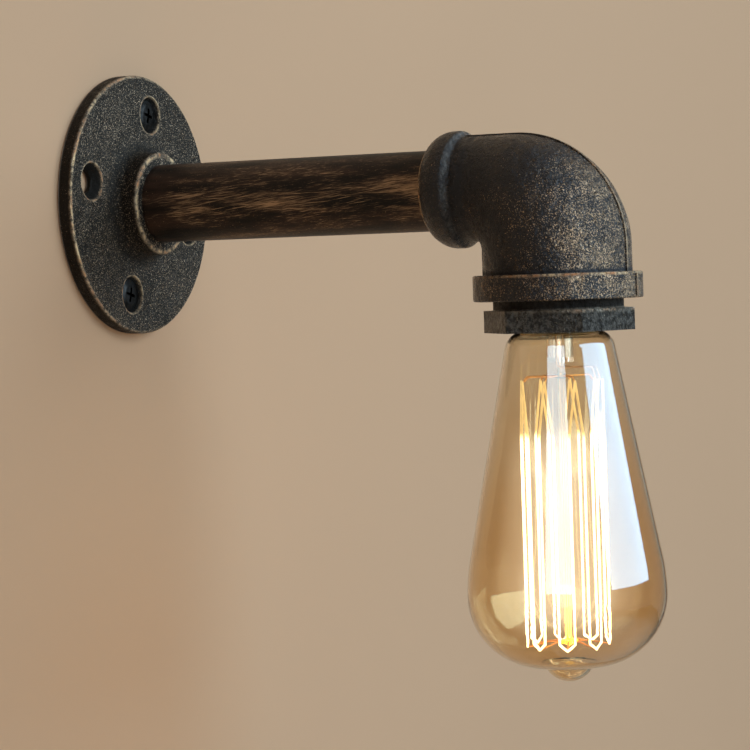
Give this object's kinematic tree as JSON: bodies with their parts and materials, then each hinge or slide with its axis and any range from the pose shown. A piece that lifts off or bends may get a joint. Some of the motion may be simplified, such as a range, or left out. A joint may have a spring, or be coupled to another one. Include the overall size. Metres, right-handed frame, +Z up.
{
  "type": "wall light",
  "caption": "Wall light of iron pipe fittings: a round flange carries a short pipe, an elbow turns down and a clear filament bulb hangs from a hexagon bushing.",
  "frame": {"origin": "centre of the flange's back face, on the wall", "axes": "+Z up, -Y out of the wall along the pipe, +Y into the wall, +X to the right seen from the room"},
  "size_m": [0.089, 0.2239, 0.2049],
  "materials": {
    "flange_iron": "antiqued black with worn bronze edges",
    "pipe_steel": "black-brown with bronze rub",
    "elbow_iron": "antiqued black with worn bronze edges",
    "bushing_iron": "rough dark blue-grey",
    "screw_steel": "black",
    "holder_ceramic": "glazed",
    "shell_brass": "plain",
    "contact_brass": "springy strip",
    "rivet_brass": "plain",
    "terminal_brass": "plain",
    "terminal_screw_steel": "zinc plated",
    "wire_black": "matte",
    "wire_white": "matte",
    "wire_green": "matte",
    "ferrule_tin": "tinned",
    "earth_tag_brass": "tinned",
    "earth_screw_steel": "zinc plated",
    "bulb_contact_tin": "soldered",
    "cap_insulator_black": "glossy",
    "cap_brass": "plain",
    "cement_grey": "matte",
    "bulb_amber": "clear amber",
    "stem_glass": "clear",
    "rod_glass": "clear",
    "lead_nickel": "plain",
    "support_wire": "plain",
    "filament_glow": "glowing"
  },
  "bodies": {
    "wall_side": {"wall_flange": "flange_iron", "wall_screws": "screw_steel", "arm_pipe": "pipe_steel"},
    "elbow_head": {"pipe_elbow": "elbow_iron", "hex_bushing": "bushing_iron", "lampholder_body": "holder_ceramic", "screw_shell": "shell_brass", "centre_contact": "contact_brass", "contact_rivet": "rivet_brass", "shell_rivet": "rivet_brass", "live_terminal": "terminal_brass", "neutral_terminal": "terminal_brass", "terminal_screws": "terminal_screw_steel", "live_wire": "wire_black", "neutral_wire": "wire_white", "earth_wire": "wire_green", "wire_ferrules": "ferrule_tin", "earth_tag": "earth_tag_brass", "earth_screw": "earth_screw_steel"},
    "bulb_base": {"bulb_contact": "bulb_contact_tin", "cap_insulator": "cap_insulator_black"},
    "bulb": {"bulb_cap": "cap_brass", "cap_cement": "cement_grey", "bulb_glass": "bulb_amber", "bulb_stem": "stem_glass", "bulb_rod": "rod_glass", "lead_wires": "lead_nickel", "upper_supports": "support_wire", "lower_supports": "support_wire", "filament": "filament_glow"}
  },
  "joints": [
    {"name": "elbow_swivel", "type": "hinge", "parent": "wall_side", "child": "elbow_head", "pos_m": [0, -0.127, 0], "axis": [0, 1, 0], "range_deg": [-90, 90]},
    {"name": "bulb_travel", "type": "slide", "parent": "elbow_head", "child": "bulb_base", "axis": [0, 0, -1], "range_m": [0, 0.01089]},
    {"name": "bulb_turn", "type": "hinge", "parent": "bulb_base", "child": "bulb", "pos_m": [0, -0.1615, -0.03], "axis": [0, 0, -1], "range_deg": [0, 1080]}
  ],
  "couplings": [
    {"joint": "bulb_travel", "follows": "bulb_turn", "m_per_rad": 0.00057757}
  ]
}
